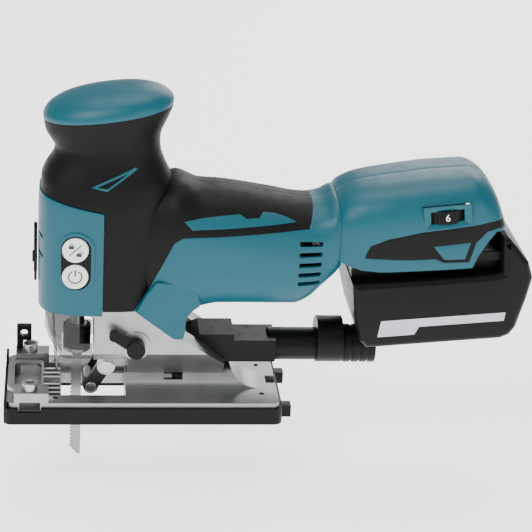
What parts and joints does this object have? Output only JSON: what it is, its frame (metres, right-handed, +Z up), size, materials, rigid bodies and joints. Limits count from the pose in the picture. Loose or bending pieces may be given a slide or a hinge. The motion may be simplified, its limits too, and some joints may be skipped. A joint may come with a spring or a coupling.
{
  "type": "jigsaw",
  "caption": "Barrel-grip battery jigsaw with tilting base, orbital action, dust nozzle and slide-on battery pack.",
  "frame": {"origin": "where the blade's axis meets the underside of the sole", "axes": "+Z up from the work, +X from the blade to the battery, +Y to the tool's right side"},
  "size_m": [0.3167, 0.075, 0.2447],
  "materials": {
    "black_plastic": "fine moulded grain",
    "teal_plastic": "satin moulded",
    "white_plastic": "satin moulded",
    "grey_plastic": "moulded",
    "elastomer": "soft matt",
    "cast_aluminium": "die cast",
    "bright_steel": "ground",
    "blackened_steel": "blackened",
    "blade_steel": "rolled",
    "bronze": "sintered",
    "copper": "wound",
    "contact_metal": "plated",
    "circuit_board": "lacquered",
    "clear_plastic": "clear",
    "smoked_plastic": "smoked clear",
    "cell_wrap": "shrink wrap"
  },
  "bodies": {
    "base": {"sole_cover": "black_plastic", "base_plate": "cast_aluminium", "fence_screws": "bright_steel", "wrench_holder": "black_plastic"},
    "saddle": {"clamp_saddle": "bright_steel"},
    "tool": {"base_bolt": "blackened_steel", "gear_housing": "cast_aluminium", "lever_bracket": "bright_steel", "plunger_bushes": "bronze", "gear_bearings": "bright_steel", "rear_bearing": "bright_steel", "stator": "copper", "shell_left": "teal_plastic", "shell_right": "teal_plastic", "grip_left": "elastomer", "grip_right": "elastomer", "handle_cap": "teal_plastic", "front_cover": "teal_plastic", "switch_panel_left": "black_plastic", "switch_panel_right": "black_plastic", "rear_trim_left": "black_plastic", "rear_trim_right": "black_plastic", "shell_screws": "blackened_steel", "wire_guard": "bright_steel", "lamp": "clear_plastic", "dust_duct": "black_plastic", "dust_nozzle": "black_plastic", "controller_board": "circuit_board", "terminal_block": "contact_metal"},
    "drive": {"plunger": "bright_steel", "blade_clamp": "bright_steel", "saw_blade": "blade_steel"},
    "collar": {"clamp_collar": "blackened_steel"},
    "counterweight": {"counterweight": "bright_steel"},
    "crank": {"crank_gear": "bright_steel"},
    "rotor": {"rotor": "bright_steel", "motor_fan": "black_plastic"},
    "orbital": {"orbital_lever": "black_plastic"},
    "roller_arm": {"roller_lever": "blackened_steel", "roller_pin": "bright_steel"},
    "roller": {"guide_roller": "bright_steel"},
    "release": {"release_lever": "black_plastic"},
    "lock_left": {"lock_button_left": "white_plastic"},
    "power_left": {"power_button_left": "white_plastic"},
    "lock_right": {"lock_button_right": "white_plastic"},
    "power_right": {"power_button_right": "white_plastic"},
    "dial": {"speed_dial": "black_plastic"},
    "chip_guard": {"dust_cover": "smoked_plastic"},
    "battery": {"battery_case_lower": "black_plastic", "battery_case_upper": "black_plastic", "battery_cells": "cell_wrap", "battery_terminals": "contact_metal"},
    "battery_release": {"battery_button": "grey_plastic"}
  },
  "joints": [
    {"name": "base_slide", "type": "slide", "parent": "base", "child": "saddle", "axis": [1, 0, 0], "range_m": [-0.005, 0]},
    {"name": "base_tilt", "type": "hinge", "parent": "saddle", "child": "tool", "pos_m": [0.062, 0, 0.015], "axis": [1, 0, 0], "range_deg": [-45, 45]},
    {"name": "plunger_slide", "type": "slide", "parent": "tool", "child": "drive", "axis": [0, 0, 1], "range_m": [-0.013, 0.013]},
    {"name": "collar_turn", "type": "hinge", "parent": "drive", "child": "collar", "pos_m": [0, 0, 0.044], "axis": [0, 0, 1], "range_deg": [-40, 0]},
    {"name": "counterweight_slide", "type": "slide", "parent": "tool", "child": "counterweight", "axis": [0, 0, 1], "range_m": [-0.0065, 0.0065]},
    {"name": "crank_spin", "type": "hinge", "parent": "tool", "child": "crank", "pos_m": [0.026, 0, 0.082], "axis": [1, 0, 0], "continuous": true},
    {"name": "rotor_spin", "type": "hinge", "parent": "tool", "child": "rotor", "pos_m": [0.1, 0, 0.107], "axis": [1, 0, 0], "continuous": true},
    {"name": "orbital_turn", "type": "hinge", "parent": "tool", "child": "orbital", "pos_m": [0.035, -0.03, 0.0496], "axis": [0, 1, 0], "range_deg": [-35, 85]},
    {"name": "roller_arm_swing", "type": "hinge", "parent": "tool", "child": "roller_arm", "pos_m": [0.0178, 0, 0.0298], "axis": [0, 1, 0], "range_deg": [-5, 0], "stiffness_Nm_per_rad": 1},
    {"name": "roller_spin", "type": "hinge", "parent": "roller_arm", "child": "roller", "pos_m": [0.0088, 0, 0.014], "axis": [0, 1, 0], "continuous": true},
    {"name": "release_turn", "type": "hinge", "parent": "tool", "child": "release", "pos_m": [-0.0256, 0.0095, 0.098], "axis": [0, 0, -1], "range_deg": [0, 80]},
    {"name": "lock_left_press", "type": "slide", "parent": "tool", "child": "lock_left", "axis": [0, 1, 0], "range_m": [0, 0.0012], "stiffness_N_per_m": 2000},
    {"name": "power_left_press", "type": "slide", "parent": "tool", "child": "power_left", "axis": [0, 1, 0], "range_m": [0, 0.0012], "stiffness_N_per_m": 2000},
    {"name": "lock_right_press", "type": "slide", "parent": "tool", "child": "lock_right", "axis": [0, -1, 0], "range_m": [0, 0.0012], "stiffness_N_per_m": 2000},
    {"name": "power_right_press", "type": "slide", "parent": "tool", "child": "power_right", "axis": [0, -1, 0], "range_m": [0, 0.0012], "stiffness_N_per_m": 2000},
    {"name": "dial_turn", "type": "hinge", "parent": "tool", "child": "dial", "pos_m": [0.21656, -0.0238, 0.13817], "axis": [-0.0854, 0, 0.9963], "range_deg": [-250, 0]},
    {"name": "chip_guard_slide", "type": "slide", "parent": "tool", "child": "chip_guard", "axis": [0, 0, 1], "range_m": [0, 0.013]},
    {"name": "battery_slide", "type": "slide", "parent": "tool", "child": "battery", "axis": [0.9963, 0, 0.0854], "range_m": [0, 0.09]},
    {"name": "battery_release_press", "type": "slide", "parent": "battery", "child": "battery_release", "axis": [0.0854, 0, -0.9963], "range_m": [0, 0.0035], "stiffness_N_per_m": 1500}
  ],
  "couplings": [
    {"joint": "collar_turn", "follows": "release_turn", "ratio": -0.5},
    {"joint": "counterweight_slide", "follows": "plunger_slide", "ratio": -0.5},
    {"joint": "rotor_spin", "follows": "crank_spin", "ratio": -4}
  ]
}
